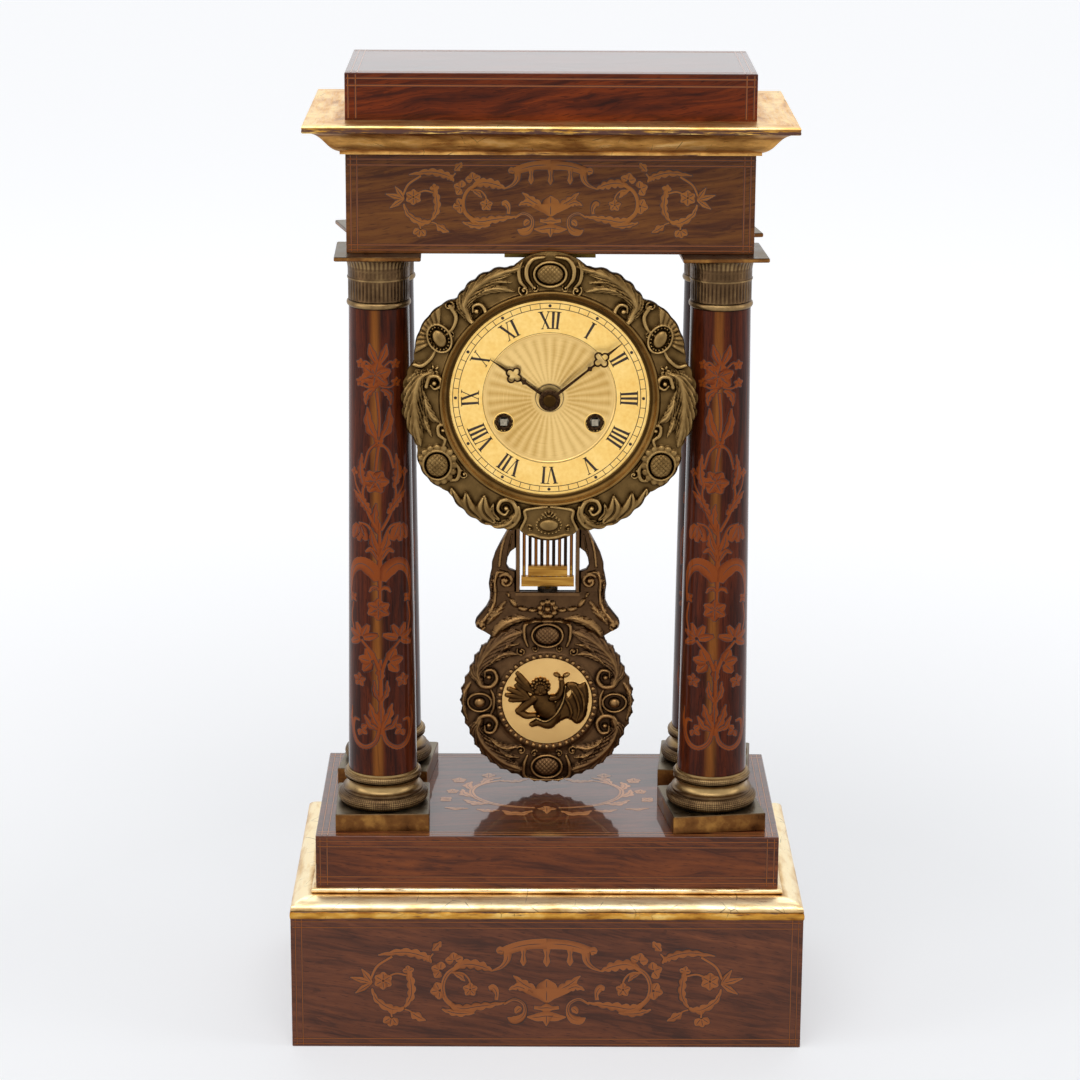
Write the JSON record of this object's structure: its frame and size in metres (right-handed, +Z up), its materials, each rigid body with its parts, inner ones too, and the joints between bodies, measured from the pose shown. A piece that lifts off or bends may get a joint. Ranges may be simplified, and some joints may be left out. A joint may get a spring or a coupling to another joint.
{
  "type": "portico clock",
  "caption": "Column mantel clock: inlaid rosewood base and entablature on turned columns, gilt mountings, round striking movement and a gridiron pendulum with a lyre and a medallion bob.",
  "frame": {"origin": "middle of the base's underside, on the surface that the clock stands on", "axes": "+Z up, +X to the right seen from the front, +Y to the back; the dial faces -Y"},
  "size_m": [0.255, 0.148, 0.4843],
  "materials": {
    "rosewood": "French polished rosewood with inlay",
    "oak": "plain sawn",
    "gilt_moulding": "worn gilding",
    "ormolu": "patinated gilt bronze",
    "dial_gilt": "gilt, engine turned",
    "brass": "lacquered",
    "bell_metal": "turned",
    "medallion_brass": "polished",
    "bronze": "dark patina with rubbed ridges",
    "steel": "bright",
    "dark_steel": "browned",
    "lead": "dull"
  },
  "bodies": {
    "case": {"base_box": "rosewood", "bottom_board": "oak", "base_moulding": "gilt_moulding", "base_step": "rosewood", "frieze_box": "rosewood", "cornice": "gilt_moulding", "attic_block": "rosewood", "column_shaft_front_left": "rosewood", "column_shaft_front_right": "rosewood", "column_shaft_back_left": "rosewood", "column_shaft_back_right": "rosewood", "column_base_front_left": "ormolu", "column_base_front_right": "ormolu", "column_base_back_left": "ormolu", "column_base_back_right": "ormolu", "column_capital_front_left": "ormolu", "column_capital_front_right": "ormolu", "column_capital_back_left": "ormolu", "column_capital_back_right": "ormolu", "tie_rods": "steel", "screws": "steel", "drum_case": "brass", "drum_bracket": "brass", "bezel": "ormolu", "dial": "dial_gilt", "front_plate": "brass", "back_plate": "brass", "going_barrel": "brass", "strike_barrel": "brass", "mainsprings": "steel", "intermediate_wheel": "brass", "centre_wheel": "brass", "third_wheel": "brass", "escape_wheel": "brass", "pin_wheel": "brass", "locking_wheel": "brass", "warning_wheel": "brass", "count_wheel": "brass", "bell": "bell_metal", "bell_stand": "steel", "suspension_cock": "brass", "suspension_spring": "steel"},
    "pendulum": {"gridiron": "brass"},
    "bob": {"lyre": "bronze", "bob": "bronze", "bob_weight": "lead", "medallion": "medallion_brass"},
    "rating_nut": {"rating_nut": "dark_steel"},
    "anchor": {"pallet_anchor": "dark_steel"},
    "minute_hand": {"cannon_pinion": "brass", "minute_hand": "dark_steel"},
    "minute_wheel": {"minute_wheel": "brass"},
    "hour_hand": {"hour_wheel": "brass", "hour_hand": "dark_steel"},
    "going_arbor": {"going_arbor": "steel"},
    "strike_arbor": {"strike_arbor": "steel"},
    "going_click": {"going_click": "steel"},
    "strike_click": {"strike_click": "steel"},
    "hammer": {"hammer": "steel"},
    "fly": {"fly": "brass"}
  },
  "joints": [
    {"name": "pendulum_swing", "type": "hinge", "parent": "case", "child": "pendulum", "pos_m": [0, 0.012, 0.366], "axis": [0, 1, 0], "range_deg": [-3, 3], "deforming": ["suspension_spring"]},
    {"name": "crutch_swing", "type": "hinge", "parent": "case", "child": "anchor", "pos_m": [0, 0, 0.366], "axis": [0, 1, 0], "range_deg": [-3, 3]},
    {"name": "rating_slide", "type": "slide", "parent": "pendulum", "child": "bob", "axis": [0, 0, 1], "range_m": [-0.002, 0]},
    {"name": "rating_turn", "type": "hinge", "parent": "bob", "child": "rating_nut", "pos_m": [0, 0.012, 0.2149], "axis": [0, 0, 1], "range_deg": [-1445, 5]},
    {"name": "minute_hand_turn", "type": "hinge", "parent": "case", "child": "minute_hand", "pos_m": [0, 0, 0.328], "axis": [0, 1, 0], "continuous": true},
    {"name": "minute_wheel_turn", "type": "hinge", "parent": "case", "child": "minute_wheel", "pos_m": [0, 0, 0.34], "axis": [0, 1, 0], "continuous": true},
    {"name": "hour_hand_turn", "type": "hinge", "parent": "case", "child": "hour_hand", "pos_m": [0, 0, 0.328], "axis": [0, 1, 0], "continuous": true},
    {"name": "going_winding", "type": "hinge", "parent": "case", "child": "going_arbor", "pos_m": [0.0221, 0, 0.3158], "axis": [0, 1, 0], "range_deg": [0, 1980]},
    {"name": "strike_winding", "type": "hinge", "parent": "case", "child": "strike_arbor", "pos_m": [-0.0221, 0, 0.3158], "axis": [0, 1, 0], "range_deg": [-1980, 0]},
    {"name": "going_click_lift", "type": "hinge", "parent": "case", "child": "going_click", "pos_m": [0.02492, 0, 0.30527], "axis": [0, 1, 0], "range_deg": [0, 15], "stiffness_Nm_per_rad": 0.002, "springref_deg": -5.73},
    {"name": "strike_click_lift", "type": "hinge", "parent": "case", "child": "strike_click", "pos_m": [-0.02492, 0, 0.30527], "axis": [0, 1, 0], "range_deg": [-15, 0], "stiffness_Nm_per_rad": 0.002, "springref_deg": 5.73},
    {"name": "hammer_lift", "type": "hinge", "parent": "case", "child": "hammer", "pos_m": [-0.033, 0, 0.332], "axis": [0, 1, 0], "range_deg": [0, 12], "stiffness_Nm_per_rad": 0.02, "springref_deg": -8.59},
    {"name": "fly_spin", "type": "hinge", "parent": "case", "child": "fly", "pos_m": [-0.02695, 0, 0.35335], "axis": [0, 1, 0], "continuous": true}
  ],
  "couplings": [
    {"joint": "crutch_swing", "follows": "pendulum_swing", "ratio": 1},
    {"joint": "rating_turn", "follows": "rating_slide", "rad_per_m": 12566},
    {"joint": "minute_wheel_turn", "follows": "minute_hand_turn", "ratio": -0.33333},
    {"joint": "hour_hand_turn", "follows": "minute_hand_turn", "ratio": 0.083333}
  ]
}
